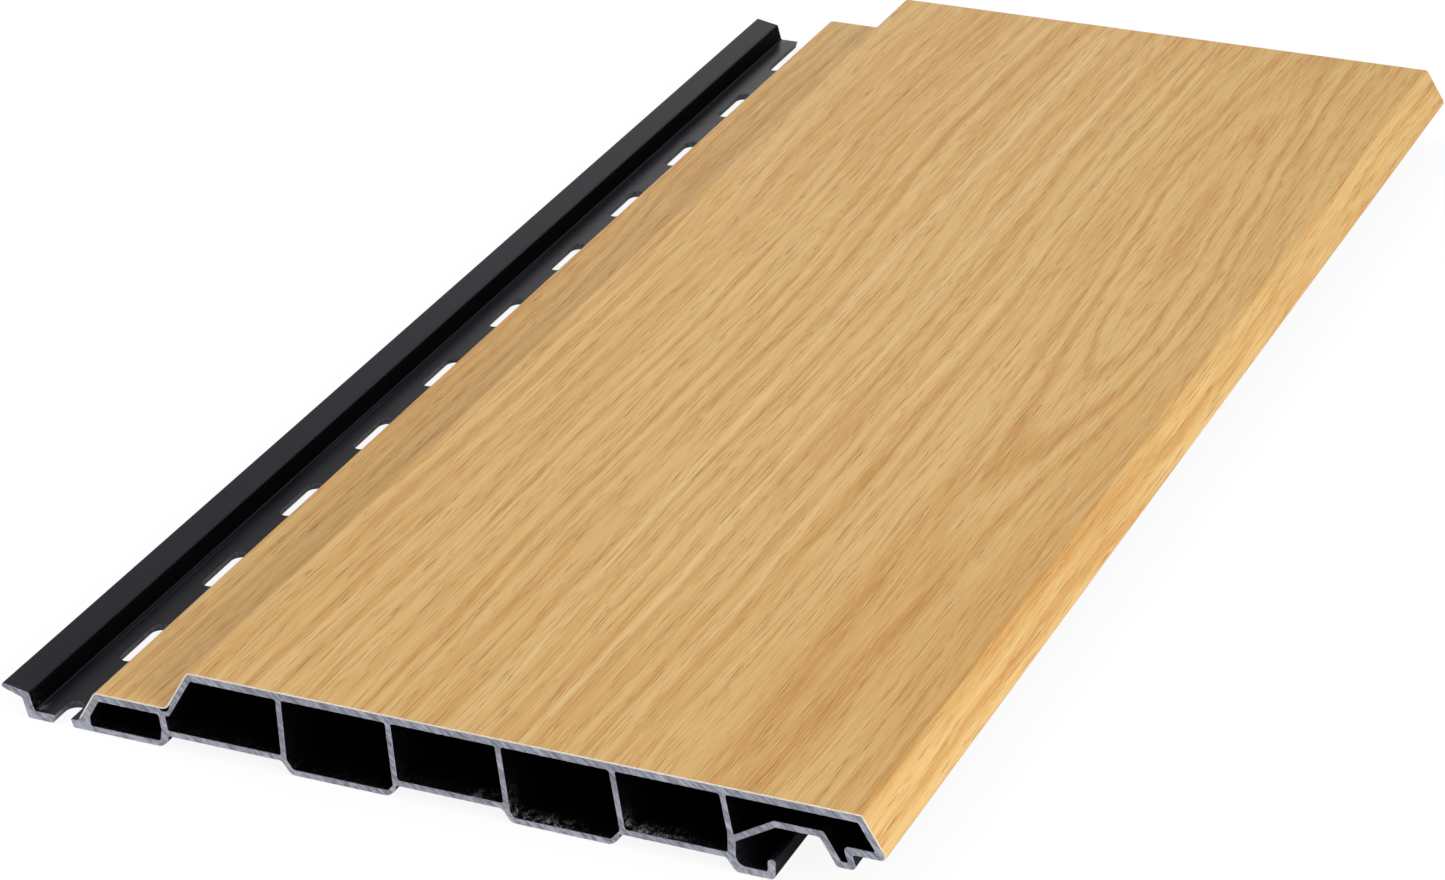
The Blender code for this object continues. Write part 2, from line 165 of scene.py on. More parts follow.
# Oak print, in millimetres on the unrolled foil: across from its left edge, along from the middle.
# A field is noise about zero: its cells' width across the grain, their length along it, its seed,
# detail and roughness. A tint is the value where it starts, the one where it is full, its share.
PALE_OAK = srgb(221, 182, 116)
MEAN_OAK = srgb(213, 168, 101)
WARM_OAK = srgb(198, 142, 70)
# Pale colour of the print's streaks and hairlines, and of the painted highlight beside the pores
PALE_PRINT_AND_GLINT_OAK = srgb(234, 200, 140)
HAIR_OAK = srgb(180, 124, 56)
PORE_OAK = srgb(154, 98, 40)

# The grain's run: slow drift and a little ripple
DRIFT_FIELD = (60.0, 260.0, 3.3, 1.0, 0.5)
DRIFT_REACH = 9.0
RIPPLE_FIELD = (14.0, 60.0, 7.0, 1.0, 0.5)
RIPPLE_REACH = 2.2

# Growth rings, in long loops round the heart; crowding and fraying are in rings
HEART_ACROSS = 182.0
HEART_ALONG = 80.0
HEART_LEAN = 0.07
HEART_LENGTH = 115.0
HEART_DEPTH = 14.0
HEART_CORE = 2.0
RING_PITCH = 5.6
BULGE_FIELD = (11.0, 38.0, 31.0, 1.0, 0.5)
BULGE_REACH = 4.0
CROWD_FIELD = (14.0, 3000.0, 5.0, 1.0, 0.5)
CROWD_REACH = 2.4
FRAY_FIELD = (0.8, 11.0, 1.0, 2.0, 0.6)
FRAY_REACH = 0.22

# Late wood: the part of a ring where it rises and falls, and how its bands differ
LATE_RISE = (0.0, 0.22)
LATE_FALL = (0.26, 0.75)
RING_LEAST = 0.4
PATCH_FIELD = (9.0, 110.0, 8.0, 1.0, 0.5)
PATCH_FADE = (-0.22, 0.12)
PATCH_LEAST = 0.6
BAND_SHARE = 0.90
TONE_FIELD = (24.0, 300.0, 9.0, 1.0, 0.5)
TONE_WARM = (0.0, 0.2, 0.42)
TONE_MEAN = (0.0, -0.2, 0.5)

# Streaks that run with the rings, and pale ones that run straight: place across, width, share
STREAK_FIELD = (2.7, 260.0, 21.0, 2.0, 0.55)
STREAK_WARM = (0.0, 0.24, 0.50)
STREAK_PALE = (0.0, -0.24, 0.55)
STRAY_FIELD = (30.0, 120.0, 17.0, 1.0, 0.5)
STRAY_REACH = 7.0
PALE_STREAKS = ((129.0, 1.2, 0.65), (111.0, 1.3, 0.60), (148.0, 0.9, 0.45), (60.0, 1.2, 0.35))

# Fibres and hairlines, each row of them shifted along the grain
STAGGER_FIELD = (1.6, 60.0, 14.0, 0.0, 0.5)
STAGGER_REACH = 30.0
FIBRE_FIELD = (0.95, 24.0, 1.5, 2.0, 0.62)
FIBRE_WARM = (0.0, 0.3, 0.68)
FIBRE_PALE = (0.0, -0.3, 0.68)
HAIR_FIELD = (0.40, 17.0, 4.5, 1.0, 0.5)
HAIR_DARK = (0.06, 0.22, 0.62)
HAIR_PALE = (-0.10, -0.26, 0.45)

# Pores: short thin ticks, denser in the late wood, with a painted highlight beside them
CROWDED_FIELD = (5.0, 25.0, 12.0, 0.0, 0.5)
CROWDED_REACH = 0.10
LATE_CROWDING = 0.06
PORE_FIELD = (0.38, 15.0, 11.0, 1.0, 0.5)
SPLIT_FIELD = (0.25, 7.0, 2.5, 1.0, 0.5)
SPLIT_REACH = 0.35
PORE_FADE = (0.15, 0.27)
PORE_SHARE = 0.72
GLINT_ASIDE = 0.22
GLINT_SHARE = 0.55

OAK_GLOSS = 0.35
OAK_ROUGHNESS = 0.47
FIBRE_ROUGHNESS = 0.14
FIBRE_RELIEF = 0.7
PORE_RELIEF = 0.6
OAK_BUMP = (0.4, 0.00006)

# PVC. A speckle is noise: cells per millimetre across, along and up, its detail and roughness.
# A bump is its strength and its depth in metres.
SKIN_LINES = ((1.4, 1 / 160, 1.4), 3.0, 0.5)
SKIN_CLOUD = ((1 / 18, 1 / 60, 1 / 18), 2.0, 0.5)
LINES_SHARE = 0.6
SKIN_TONES = (0.30, 0.75)
SKIN_BUMP_GAIN = 1.6
SKIN_BUMP_DEPTH = 0.00004

# Kinds of skin: its tones, specular level, least roughness, and what the lines add to it
SKIN_LOOK = (srgb(11, 11, 16), srgb(25, 25, 33), 0.10, 0.34, 0.22)
# The chambers' walls and the channel's wall: the skin darkened with painted shade, and less glossy
PAINTED_SHADE_LOOK = (srgb(3, 3, 4), srgb(9, 9, 12), 0.02, 0.45, 0.22)
FLANGE_LOOK = (srgb(16, 15, 24), srgb(24, 22, 34), 0.24, 0.33, 0.03)

# Painted highlight along the corner of the flange's channel, in patches
CORNER_HIGHLIGHT = srgb(74, 74, 80)
CORNER_HIGHLIGHT_X = -104.6
CORNER_HIGHLIGHT_WIDTH = 0.28
CORNER_HIGHLIGHT_FADE = (0.30, 0.60)
CORNER_HIGHLIGHT_SHARE = 0.60

# Saw dust near the ends, thickest in heaps, each with its place across and its width
DUST = srgb(205, 206, 203)
DUST_REACH = 7.0
DUST_FALL = 1.6
DUST_LEVELS = (4.0, 12.0)
DUST_GUST = ((1 / 1.4, 1 / 2.6, 1 / 1.4), 4.0, 0.75)
GUST_FADE = (0.44, 0.66)
DUST_GRIT = ((3.1, 1.6, 3.1), 2.0, 0.7)
GRIT_FADE = (0.38, 0.66)
DUST_LEAST = 0.05
DUST_HEAPS = (
    (14.5, 3.5),
    (25.0, 3.5),
    (31.0, 5.0),
    (22.2, 0.7),
    (54.5, 3.0),
    (60.0, 4.0),
    (50.6, 0.7),
    (-104.6, 0.8),
)

# Sawn face: slanting saw marks, and painted light near the floor: mottled, and on the whole lighter low
# on the section
SAWN_STOPS = ((0.36, srgb(108, 110, 121)), (0.50, srgb(147, 149, 161)), (0.64, srgb(190, 192, 205)))
SAW_ANGLE = radians(38.0)
SAW_MARKS = ((1.5, 1 / 6, 1 / 3), 2.0, 0.6)
SAW_FINE = ((6.0, 1.2, 1.0), 2.0, 0.5)
FINE_SHARE = 0.35
SAWN_MOTTLE = ((1 / 1.6, 1.0, 1 / 1.6), 2.0, 0.6)
MOTTLE_SPAN = 0.50
MOTTLE_LOSS = -0.18
PAINTED_LIGHT_LEVELS = (1.5, 7.0)
SAWN_GLOSS = 0.4
SAWN_ROUGHNESS = 0.55
SAWN_BUMP = (0.6, 0.00008)

# Broken rims of the cut, walls of the punched slots, and the foil's cut edge
RIM_GRIT = ((1.3, 1.0, 1.3), 3.0, 0.7)
RIM_STOPS = ((0.35, srgb(105, 105, 116)), (0.65, srgb(178, 178, 196)))
RIM_ROUGHNESS = 0.5
PUNCHED_GRIT = ((1.2, 1.2, 1 / 1.5), 3.0, 0.7)
PUNCHED_STOPS = ((0.32, srgb(76, 79, 92)), (0.68, srgb(138, 142, 158)))
PUNCHED_ROUGHNESS = 0.5
PUNCHED_BUMP = (0.4, 0.00006)
EDGE_GRIT = ((0.9, 1.0, 0.9), 3.0, 0.6)
EDGE_STOPS = ((0.35, srgb(236, 224, 206)), (0.65, srgb(253, 248, 240)))
EDGE_ROUGHNESS = 0.6


def section_loops(part, y):
    """Closed outlines, as (x, z) points, where a plane across the board cuts a part; widest first."""
    mesh = bmesh.new()
    mesh.from_mesh(part.data)
    bmesh.ops.remove_doubles(mesh, verts=mesh.verts, dist=WELD)
    everything = mesh.verts[:] + mesh.edges[:] + mesh.faces[:]
    cut = bmesh.ops.bisect_plane(mesh, geom=everything, plane_co=(0, y, 0), plane_no=(0, 1, 0))
    pending = dict.fromkeys(item for item in cut["geom_cut"] if isinstance(item, bmesh.types.BMEdge))
    loops = []
    while pending:
        edge = next(iter(pending))
        del pending[edge]
        start, here = edge.verts
        loop = [Vector((start.co.x, start.co.z))]
        while here is not start:
            loop.append(Vector((here.co.x, here.co.z)))
            edge = next(item for item in here.link_edges if item in pending)
            del pending[edge]
            here = edge.other_vert(here)
        loops.append(anticlockwise(without_straight_points(loop)))
    mesh.free()
    loops.sort(key=loop_width, reverse=True)
    return loops


def loop_width(loop):
    """Reach of a loop across the board."""
    return max(point.x for point in loop) - min(point.x for point in loop)


def without_straight_points(loop):
    """The loop without the points that lie on a straight line between their neighbours."""
    kept = []
    for index, here in enumerate(loop):
        before = loop[index - 1]
        after = loop[(index + 1) % len(loop)]
        bend = (here - before).cross(after - here)
        if abs(bend) > WELD * (after - before).length:
            kept.append(here)
    return kept


def anticlockwise(loop):
    """The loop in anticlockwise order, as seen from the near end."""
    area = sum(loop[i - 1].cross(loop[i]) for i in range(len(loop)))
    return loop if area > 0 else loop[::-1]


def resampled(line, step, closed):
    """The line with points added so that no stretch is longer than a step."""
    points = []
    count = len(line) if closed else len(line) - 1
    for index in range(count):
        here = line[index]
        after = line[(index + 1) % len(line)]
        parts = max(1, ceil((after - here).length / step))
        for part in range(parts):
            points.append(here.lerp(after, part / parts))
    if not closed:
        points.append(line[-1])
    return points


def normals(line, closed):
    """Unit normal at each point, to the right of the way along the line."""
    found = []
    for index, here in enumerate(line):
        before = line[index - 1] if closed or index > 0 else here
        after = line[(index + 1) % len(line)] if closed or index < len(line) - 1 else here
        way = (here - before).normalized() + (after - here).normalized()
        way.normalize()
        found.append(Vector((way.y, -way.x)))
    return found


def foil_run(outline):
    """Outer line of the foil, from under the lip's tip over the face and down to the flange.

    The bare rest of the outline comes with it.
    """
    right = max(point.x for point in outline)
    tip = [index for index, point in enumerate(outline) if point.x > right - FOIL_TIP_REACH]
    first = min(tip, key=lambda index: (round(outline[index].y, LEVEL_DIGITS), -outline[index].x))
    ordered = outline[first:] + outline[:first]
    run = []
    for here, after in zip(ordered, ordered[1:]):
        run.append(here)
        left_of_step = after.x < VOID_CORNER[0]
        if left_of_step and after.y < FOIL_FOOT_LEVEL:
            share = (here.y - FOIL_FOOT_LEVEL) / (here.y - after.y)
            run.append(here.lerp(after, share))
            break
    return run, ordered[len(run) - 1:]


def void_depth(point):
    """Extra depth of the board's surface behind the foil, near the bridged corner."""
    away = (point - Vector(VOID_CORNER)).length / VOID_REACH
    return VOID_DEPTH * max(0.0, 1 - away * away)


def foil_seat(run):
    """The board's surface under the foil: the run set back by the foil, and by the void behind it."""
    covered = resampled(run, RIM_STEP, False)
    seat = []
    for point, normal in zip(covered, normals(covered, False)):
        depth = FOIL_THICKNESS + FOIL_SEAT_GAP + void_depth(point)
        seat.append(point - normal * depth)
    return seat


def rim_line(line, seed):
    """The cut's rim: the line moved into the wall by a small uneven amount."""
    moved = []
    for point, normal in zip(line, normals(line, True)):
        place = Vector((point.x / RIM_NOISE_PITCH, seed, point.y / RIM_NOISE_PITCH))
        inset = RIM_INSET + RIM_NOISE * noise.noise(place)
        moved.append(point - normal * max(inset, RIM_LEAST))
    return moved


def add_ring(mesh, line, y):
    """Ring of vertices on a line of the section, at one place along the board."""
    return [mesh.verts.new((point.x, y, point.y)) for point in line]


def torn_ring(mesh, line, y, way):
    """Ring of vertices that wanders a little along the board, where the print is torn off."""
    verts = []
    for point in line:
        place = Vector((point.x / TORN_PITCH, y, point.y / TORN_PITCH))
        depth = TORN_RIM + TORN_NOISE * noise.noise(place)
        verts.append(mesh.verts.new((point.x, y + way * depth, point.y)))
    return verts


def bridge(mesh, one, other, closed, material, uv_layer=None, uvs=None):
    """Row of faces between two rings of vertices."""
    count = len(one) if closed else len(one) - 1
    for index in range(count):
        after = (index + 1) % len(one)
        face = mesh.faces.new((one[index], one[after], other[after], other[index]))
        face.material_index = material
        face.smooth = True
        if uv_layer is not None:
            places = (index, after, after, index)
            for loop, place in zip(face.loops, places):
                loop[uv_layer].uv = (uvs[place], loop.vert.co.y)


def ring_edges(verts):
    """Edges round a closed ring, which its rows of faces have already made."""
    edges = []
    for index, vert in enumerate(verts):
        after = verts[(index + 1) % len(verts)]
        edges.append(next(edge for edge in vert.link_edges if edge.other_vert(vert) is after))
    return edges


def new_object(name, mesh, materials):
    """Object with the finished mesh and its materials."""
    data = bpy.data.meshes.new(name)
    mesh.to_mesh(data)
    mesh.free()
    data.set_sharp_from_angle(angle=SHARP_ANGLE)
    made = bpy.data.objects.new(name, data)
    bpy.context.collection.objects.link(made)
    for material in materials:
        data.materials.append(material)
    return made


def board_body(outside, chambers, materials):
    """The PVC board: its walls from end to end, and its two sawn faces."""
    lines = [resampled(outside, RIM_STEP, True)]
    for chamber in chambers:
        lines.append(resampled(chamber[::-1], RIM_STEP, True))
    mesh = bmesh.new()
    near_edges = []
    far_edges = []
    for number, line in enumerate(lines):
        rings = [
            add_ring(mesh, rim_line(line, number), NEAR),
            add_ring(mesh, line, NEAR + RIM_DEPTH),
            add_ring(mesh, line, NEAR + RIM_DEPTH + RIM_HOLD),
            add_ring(mesh, line, FAR - RIM_DEPTH - RIM_HOLD),
            add_ring(mesh, line, FAR - RIM_DEPTH),
            add_ring(mesh, rim_line(line, number + len(lines)), FAR),
        ]
        # The chambers' walls take the skin darkened with painted shade
        wall = PAINTED_SHADE_SLOT if number else SKIN_SLOT
        kinds = (RIM_SLOT, wall, wall, wall, RIM_SLOT)
        for one, other, kind in zip(rings, rings[1:], kinds):
            bridge(mesh, one, other, True, kind)
        near_edges += ring_edges(rings[0])
        far_edges += ring_edges(rings[-1])
    for edges in (near_edges, far_edges):
        filled = bmesh.ops.triangle_fill(mesh, use_beauty=True, use_dissolve=False, edges=edges)
        for item in filled["geom"]:
            if isinstance(item, bmesh.types.BMFace):
                item.material_index = SAWN_SLOT
                item.smooth = True
    bmesh.ops.recalc_face_normals(mesh, faces=mesh.faces)
    mark_flange(mesh)
    return new_object("pvc_board", mesh, materials)


def mark_flange(mesh):
    """Gives the flange's top its glossy skin, and the wall of the channel the skin darkened with
    painted shade.
    """
    for face in mesh.faces:
        on_flange = face.calc_center_median().x < FLANGE_INNER
        if face.material_index == SKIN_SLOT and on_flange:
            if face.normal.z > FLANGE_TOP_RISE:
                face.material_index = FLANGE_SLOT
            elif face.normal.x > CHANNEL_WALL_LEAN:
                # The channel's wall takes the skin darkened with painted shade
                face.material_index = PAINTED_SHADE_SLOT


def decor_foil(run, materials):
    """The foil: a thin closed strip bent round the board's face, ledge and edges."""
    outer = resampled(run, FOIL_STEP, False)
    inner = [point - normal * FOIL_THICKNESS for point, normal in zip(outer, normals(outer, False))]
    lengths = [0.0]
    for before, here in zip(outer, outer[1:]):
        lengths.append(lengths[-1] + (here - before).length)
    from_left = [lengths[-1] - length for length in lengths]
    mesh = bmesh.new()
    uv_layer = mesh.loops.layers.uv.new("unrolled")
    rings = [
        add_ring(mesh, inner, NEAR),
        add_ring(mesh, outer, NEAR),
        torn_ring(mesh, outer, NEAR, 1),
        torn_ring(mesh, outer, FAR, -1),
        add_ring(mesh, outer, FAR),
        add_ring(mesh, inner, FAR),
    ]
    for index, ring in enumerate(rings):
        after = rings[(index + 1) % len(rings)]
        if index == PRINT_ROW:
            bridge(mesh, ring, after, False, FACE_SLOT, uv_layer, from_left)
        else:
            bridge(mesh, ring, after, False, EDGE_SLOT)
    for end in (0, -1):
        face = mesh.faces.new([ring[end] for ring in rings])
        face.material_index = EDGE_SLOT
    bmesh.ops.recalc_face_normals(mesh, faces=mesh.faces)
    return new_object("decor_foil", mesh, materials)


def slot_spans():
    """Start and end of every slot along the board; the saw cut the first and the last open."""
    spans = []
    middle = FIRST_SLOT_Y
    while middle - SLOT_LENGTH / 2 + SLOT_WIDTH < LENGTH:
        end = middle + SLOT_LENGTH / 2
        if end > LENGTH - LEAST_END_BRIDGE:
            end = LENGTH + CUT_MARGIN
        spans.append((NEAR + middle - SLOT_LENGTH / 2, NEAR + end))
        middle += SLOT_PITCH
    return spans


def slot_ring(mesh, start, end, radius, z):
    """Ring round one slot, whose ends are half circles about fixed centres."""
    steps = ceil(pi / SLOT_ARC_STEP)
    ring = []
    for centre, turn in ((end - SLOT_WIDTH / 2, 0.0), (start + SLOT_WIDTH / 2, pi)):
        for step in range(steps + 1):
            angle = turn + pi * step / steps
            place = (SLOT_X + radius * cos(angle), centre + radius * sin(angle), z)
            ring.append(mesh.verts.new(place))
    return ring


def slot_tool(materials):
    """Solid of all slots; each widens towards the back, where the punch broke out."""
    mesh = bmesh.new()
    narrow = SLOT_WIDTH / 2
    wide = narrow + BREAKOUT_WIDTH
    levels = ((-CUT_MARGIN, wide), (0.0, wide), (BREAKOUT_TOP, narrow), (CUT_MARGIN, narrow))
    for start, end in slot_spans():
        rings = [slot_ring(mesh, start, end, radius, z) for z, radius in levels]
        for one, other in zip(rings, rings[1:]):
            bridge(mesh, one, other, True, TOOL_SLOT)
        mesh.faces.new(rings[0])
        mesh.faces.new(rings[-1])
    bmesh.ops.recalc_face_normals(mesh, faces=mesh.faces)
    return new_object("slot_tool", mesh, materials)


def cut_slots(board, punched):
    """Punches the slots out of the flange; their walls take the punched material."""
    tool = slot_tool([punched])
    cut = board.modifiers.new("slots", "BOOLEAN")
    cut.operation = "DIFFERENCE"
    cut.solver = "EXACT"
    cut.material_mode = "TRANSFER"
    cut.object = tool
    graph = bpy.context.evaluated_depsgraph_get()
    finished = bpy.data.meshes.new_from_object(board.evaluated_get(graph))
    board.modifiers.clear()
    finished.set_sharp_from_angle(angle=SHARP_ANGLE)
    board.data = finished
    bpy.data.objects.remove(tool)


class Shading:
    """Short way to build a node material round its Principled shader."""

    def __init__(self, name):
        self.material = bpy.data.materials.new(name)
        self.material.use_nodes = True
        self.tree = self.material.node_tree
        self.shader = self.tree.nodes["Principled BSDF"]

    def put(self, socket, value):
        """Links a socket to another node's, or writes a value on it."""
        if isinstance(value, bpy.types.NodeSocket):
            self.tree.links.new(value, socket)
        else:
            socket.default_value = value

    def node(self, kind, sockets, **settings):
        """New node, with its settings made before its sockets."""
        made = self.tree.nodes.new("ShaderNode" + kind)
        for name, value in settings.items():
            setattr(made, name, value)
        for name, value in sockets.items():
            self.put(made.inputs[name], value)
        return made

    def set(self, **values):
        """Puts values on the shader's sockets, with _ for each space in their names."""
        for name, value in values.items():
            self.put(self.shader.inputs[name.replace("_", " ")], value)

    def math(self, operation, *values):
        """Result of a Math node."""
        return self.node("Math", dict(enumerate(values)), operation=operation).outputs[0]

    def plus(self, one, two):
        return self.math("ADD", one, two)

    def minus(self, one, two):
        return self.math("SUBTRACT", one, two)

    def times(self, one, two):
        return self.math("MULTIPLY", one, two)

    def over(self, one, two):
        return self.math("DIVIDE", one, two)

    def times_plus(self, one, two, three):
        return self.math("MULTIPLY_ADD", one, two, three)

    def vector(self, x, y, z):
        return self.node("CombineXYZ", {"X": x, "Y": y, "Z": z}).outputs[0]

    def place(self):
        """Place on the piece in millimetres, as three sockets."""
        coordinates = self.node("TexCoord", {})
        sockets = {0: coordinates.outputs["Object"], "Scale": MILLIMETRES}
        scaled = self.node("VectorMath", sockets, operation="SCALE")
        return list(self.node("SeparateXYZ", {0: scaled.outputs[0]}).outputs)

    def noise(self, place, detail, roughness):
        """Noise from 0 to 1 with its cells about one unit wide."""
        sockets = {"Vector": place, "Scale": 1.0, "Detail": detail, "Roughness": roughness}
        return self.node("TexNoise", sockets).outputs[0]

    def field(self, across, along, cells):
        """Noise about zero, with long cells that lie along the grain."""
        wide, long, seed, detail, roughness = cells
        there = self.vector(self.over(across, wide), self.over(along, long), seed)
        return self.minus(self.noise(there, detail, roughness), NOISE_MEAN)

    def speckle(self, place, kind):
        """Noise from 0 to 1 on a place in millimetres."""
        scales, detail, roughness = kind
        there = [self.times(value, scale) for value, scale in zip(place, scales)]
        return self.noise(self.vector(*there), detail, roughness)

    def fade(self, value, start, end):
        """0 at the start and 1 at the end, with a smooth way between."""
        sockets = {"Value": value, "From Min": start, "From Max": end}
        return self.node("MapRange", sockets, interpolation_type="SMOOTHSTEP").outputs[0]

    def fall(self, value, start, end):
        """1 at the start and 0 at the end, with a smooth way between."""
        return self.minus(1.0, self.fade(value, start, end))

    def bell(self, value, middle, width):
        """1 at the middle, and less and less on both sides of it."""
        away = self.over(self.minus(value, middle), width)
        return self.math("EXPONENT", self.times(self.times(away, away), -1.0))

    def at_least(self, value, least):
        """A value from 0 to 1, moved to between the least one and 1."""
        return self.times_plus(value, 1 - least, least)

    def blend(self, share, one, two):
        """So much of one value, and the rest of the other."""
        return self.times_plus(one, share, self.times(two, 1 - share))

    def ramp(self, value, stops):
        """Colour that goes from stop to stop with the value."""
        made = self.node("ValToRGB", {"Fac": value})
        elements = made.color_ramp.elements
        while len(elements) < len(stops):
            elements.new(RAMP_MIDDLE)
        for element, (place, colour) in zip(elements, stops):
            element.position = place
            element.color = colour
        return made.outputs[0]

    def mix(self, share, one, two):
        """One colour with a share of another."""
        sockets = {"Factor": share, MIX_ONE: one, MIX_TWO: two}
        return self.node("Mix", sockets, data_type="RGBA").outputs[MIX_RESULT]

    def tint(self, colour, value, reach, paint):
        """The colour with a paint on it where the value reaches far enough."""
        start, end, share = reach
        return self.mix(self.times(self.fade(value, start, end), share), colour, paint)

    def bump(self, height, strength, depth):
        """Relief of the surface, without a change of its shape."""
        sockets = {"Height": height, "Strength": strength, "Distance": depth}
        self.set(Normal=self.node("Bump", sockets).outputs[0])


def oak_material():
    """Light oak print: rings of a log cut near its heart, fibres and pores, lightly embossed."""
    s = Shading("oak_decor")
    uv = s.node("UVMap", {}, uv_map="unrolled")
    parts = s.node("SeparateXYZ", {0: uv.outputs[0]})
    across = s.times(parts.outputs[0], MILLIMETRES)
    along = s.times(parts.outputs[1], MILLIMETRES)
    drift = s.times(s.field(across, along, DRIFT_FIELD), DRIFT_REACH)
    ripple = s.times(s.field(across, along, RIPPLE_FIELD), RIPPLE_REACH)
    wavy = s.plus(across, s.plus(drift, ripple))
    shifted = s.times_plus(s.field(across, along, STAGGER_FIELD), STAGGER_REACH, along)

    ring = oak_rings(s, across, along, wavy)
    late = late_wood(s, ring)
    colour = oak_bands(s, ring, late, wavy, along)
    colour = oak_streaks(s, colour, ring, s.plus(across, ripple), across, along)
    fibre = s.field(wavy, shifted, FIBRE_FIELD)
    colour = oak_fibres(s, colour, fibre, s.field(wavy, shifted, HAIR_FIELD))
    colour, pore = oak_pores(s, colour, late, wavy, along, shifted)

    roughness = s.times_plus(fibre, FIBRE_ROUGHNESS, OAK_ROUGHNESS)
    s.set(Base_Color=colour, Roughness=roughness, Specular_IOR_Level=OAK_GLOSS)
    s.bump(s.minus(s.times(fibre, FIBRE_RELIEF), s.times(pore, PORE_RELIEF)), *OAK_BUMP)
    return s.material


def oak_rings(s, across, along, wavy):
    """Number of the growth ring: the surface cuts them in loops round the heart, in bands beside it."""
    near = s.bell(along, HEART_ALONG, HEART_LENGTH)
    from_heart = s.minus(along, HEART_ALONG)
    lean = s.times(s.times(from_heart, near), HEART_LEAN)
    aside = s.plus(s.minus(wavy, HEART_ACROSS), lean)
    depth = s.times_plus(near, -HEART_DEPTH, HEART_CORE + HEART_DEPTH)
    radius = s.math("SQRT", s.times_plus(aside, aside, s.times(depth, depth)))
    bulge = s.times(s.field(across, along, BULGE_FIELD), BULGE_REACH)
    radius = s.times_plus(near, bulge, radius)
    crowd = s.times(s.field(radius, along, CROWD_FIELD), CROWD_REACH)
    fray = s.times(s.field(wavy, along, FRAY_FIELD), FRAY_REACH)
    return s.plus(s.over(radius, RING_PITCH), s.plus(crowd, fray))


def late_wood(s, ring):
    """Share of dark late wood in a ring: it rises fast and falls slowly."""
    phase = s.math("FRACT", ring)
    return s.times(s.fade(phase, *LATE_RISE), s.fall(phase, *LATE_FALL))


def oak_bands(s, ring, late, wavy, along):
    """Colour of early and late wood, stronger in some rings and patches, with broad warm tones."""
    number = s.math("FLOOR", ring)
    weight = s.node("TexWhiteNoise", {"W": number}, noise_dimensions="1D").outputs[0]
    patch = s.fade(s.field(wavy, along, PATCH_FIELD), *PATCH_FADE)
    band = s.times(late, s.at_least(weight, RING_LEAST))
    band = s.times(band, s.at_least(patch, PATCH_LEAST))
    colour = s.mix(s.times(band, BAND_SHARE), PALE_OAK, WARM_OAK)
    tone = s.field(wavy, along, TONE_FIELD)
    colour = s.tint(colour, tone, TONE_WARM, WARM_OAK)
    return s.tint(colour, tone, TONE_MEAN, MEAN_OAK)


def oak_streaks(s, colour, ring, rippled, across, along):
    """Adds the streaks that run with the rings, and a few pale ones that run straight."""
    streak = s.field(s.times(ring, RING_PITCH), along, STREAK_FIELD)
    colour = s.tint(colour, streak, STREAK_WARM, WARM_OAK)
    colour = s.tint(colour, streak, STREAK_PALE, PALE_OAK)
    stray = s.times_plus(s.field(across, along, STRAY_FIELD), STRAY_REACH, rippled)
    for middle, width, share in PALE_STREAKS:
        colour = s.mix(s.times(s.bell(stray, middle, width), share), colour, PALE_PRINT_AND_GLINT_OAK)
    return colour


def oak_fibres(s, colour, fibre, hair):
    """Adds the fibres, and thin dark and pale hairlines between them."""
    colour = s.tint(colour, fibre, FIBRE_WARM, WARM_OAK)
    colour = s.tint(colour, fibre, FIBRE_PALE, PALE_OAK)
    colour = s.tint(colour, hair, HAIR_DARK, HAIR_OAK)
    return s.tint(colour, hair, HAIR_PALE, PALE_PRINT_AND_GLINT_OAK)


def oak_pores(s, colour, late, wavy, along, shifted):
    """Adds the pores, each with a painted highlight beside it; the pores themselves come with the
    colour.
    """
    crowded = s.times(s.field(wavy, along, CROWDED_FIELD), CROWDED_REACH)
    crowded = s.times_plus(late, LATE_CROWDING, crowded)
    split = s.field(wavy, shifted, SPLIT_FIELD)

    def ticks(aside):
        level = s.plus(s.field(s.plus(wavy, aside), shifted, PORE_FIELD), crowded)
        return s.fade(s.times_plus(split, SPLIT_REACH, level), *PORE_FADE)

    pore = ticks(0.0)
    glint = ticks(GLINT_ASIDE)
    # Painted highlight beside each pore
    colour = s.mix(s.times(glint, GLINT_SHARE), colour, PALE_PRINT_AND_GLINT_OAK)
    return s.mix(s.times(pore, PORE_SHARE), colour, PORE_OAK), pore


def skin_material(name, look):
    """Extruded skin: dark grey PVC with faint lines along the board and saw dust at its ends."""
    dark, light, gloss, matt, relief = look
    s = Shading(name)
    place = s.place()
    lines = s.speckle(place, SKIN_LINES)
    cloud = s.speckle(place, SKIN_CLOUD)
    low_tone, high_tone = SKIN_TONES
    colour = s.ramp(s.blend(LINES_SHARE, lines, cloud), ((low_tone, dark), (high_tone, light)))
    # Painted highlight along the channel's corner, in patches
    corner_highlight = s.times(s.bell(place[0], CORNER_HIGHLIGHT_X, CORNER_HIGHLIGHT_WIDTH), s.fade(cloud, *CORNER_HIGHLIGHT_FADE))
    colour = s.mix(s.times(corner_highlight, CORNER_HIGHLIGHT_SHARE), colour, CORNER_HIGHLIGHT)
    colour = s.mix(saw_dust(s, place), colour, DUST)
    roughness = s.times_plus(lines, relief, matt)
    s.set(Base_Color=colour, Roughness=roughness, Specular_IOR_Level=gloss)
    s.bump(lines, SKIN_BUMP_GAIN * relief, SKIN_BUMP_DEPTH)
    return s.material


